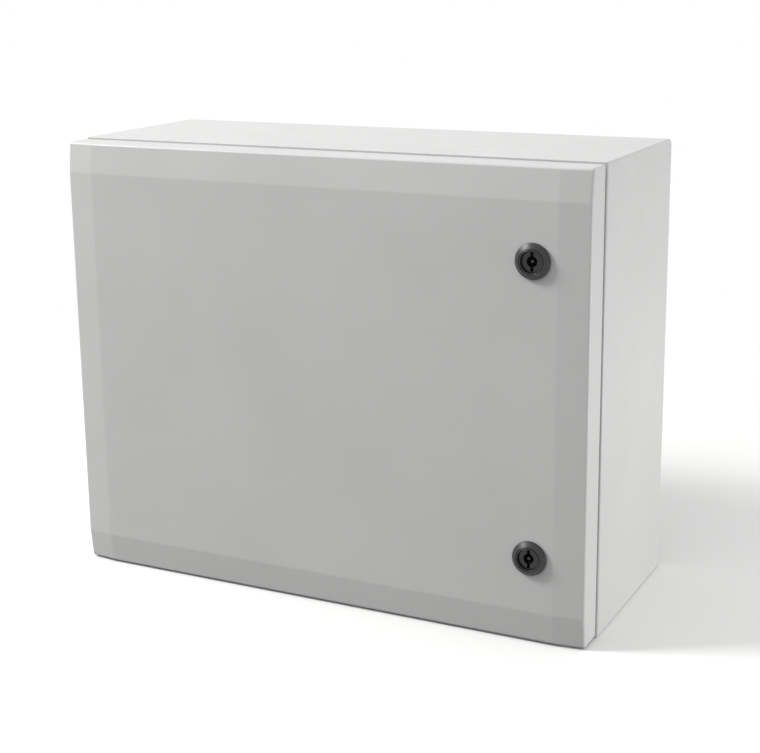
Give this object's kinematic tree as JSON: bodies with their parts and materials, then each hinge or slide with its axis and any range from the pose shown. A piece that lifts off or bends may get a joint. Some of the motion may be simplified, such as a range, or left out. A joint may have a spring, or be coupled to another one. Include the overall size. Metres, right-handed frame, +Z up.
{
  "type": "wall-mounting electrical enclosure",
  "caption": "Light-grey sheet-steel wall enclosure with a shallow-crowned hinged door, quarter-turn cam locks, a mounting plate and a bottom gland plate.",
  "frame": {"origin": "centre of the flat rear face, which lies on the wall", "axes": "+X to the right as the door is faced, +Y into the wall, +Z up; the door faces -Y"},
  "size_m": [0.5, 0.2155, 0.4],
  "materials": {
    "powder_coat": "fine-textured light-grey polyester powder coat on steel sheet",
    "zinc_sheet": "bright galvanised steel sheet",
    "zinc_plate": "zinc-plated steel fasteners",
    "copper_flash": "copper-flashed steel weld studs",
    "die_cast": "tumbled zinc die casting",
    "lock_body": "satin black glass-filled polyamide",
    "lock_insert": "black-coated zinc die casting",
    "seal_foam": "grey foamed polyurethane and rubber seals",
    "spacer": "black moulded polyamide spacers"
  },
  "bodies": {
    "cabinet": {"body_shell": "powder_coat", "mounting_plate": "zinc_sheet", "plate_studs": "copper_flash", "plate_spacers": "spacer", "plate_washers": "zinc_plate", "plate_nuts": "zinc_plate", "gland_plate": "powder_coat", "gland_gasket": "seal_foam", "gland_studs": "copper_flash", "gland_nuts": "zinc_plate", "body_earth_stud": "copper_flash", "body_earth_washers": "zinc_plate", "body_earth_nut": "zinc_plate", "hinge_block_upper": "die_cast", "hinge_block_lower": "die_cast", "hinge_block_screws": "zinc_plate"},
    "door": {"door_shell": "powder_coat", "door_gasket": "seal_foam", "door_rail_left": "powder_coat", "door_rail_right": "powder_coat", "hinge_leaf_upper": "die_cast", "hinge_leaf_lower": "die_cast", "hinge_pin_upper": "zinc_plate", "hinge_pin_lower": "zinc_plate", "hinge_leaf_studs": "copper_flash", "hinge_leaf_nuts": "zinc_plate", "door_earth_stud": "copper_flash", "door_earth_washers": "zinc_plate", "door_earth_nut": "zinc_plate", "lock_housing_upper": "lock_body", "lock_seal_upper": "seal_foam", "lock_nut_upper": "zinc_plate", "lock_housing_lower": "lock_body", "lock_seal_lower": "seal_foam", "lock_nut_lower": "zinc_plate"},
    "lock_upper": {"lock_rotor_upper": "lock_insert", "lock_cam_upper": "zinc_plate", "lock_cam_washer_upper": "zinc_plate", "lock_cam_screw_upper": "zinc_plate"},
    "lock_lower": {"lock_rotor_lower": "lock_insert", "lock_cam_lower": "zinc_plate", "lock_cam_washer_lower": "zinc_plate", "lock_cam_screw_lower": "zinc_plate"}
  },
  "joints": [
    {"name": "door_hinge", "type": "hinge", "parent": "cabinet", "child": "door", "pos_m": [-0.2425, -0.19, 0], "axis": [0, 0, -1], "range_deg": [0, 120]},
    {"name": "lock_upper_turn", "type": "hinge", "parent": "door", "child": "lock_upper", "pos_m": [0.2015, -0.2, 0.124], "axis": [0, 1, 0], "range_deg": [0, 90]},
    {"name": "lock_lower_turn", "type": "hinge", "parent": "door", "child": "lock_lower", "pos_m": [0.2015, -0.2, -0.124], "axis": [0, 1, 0], "range_deg": [0, 90]}
  ]
}
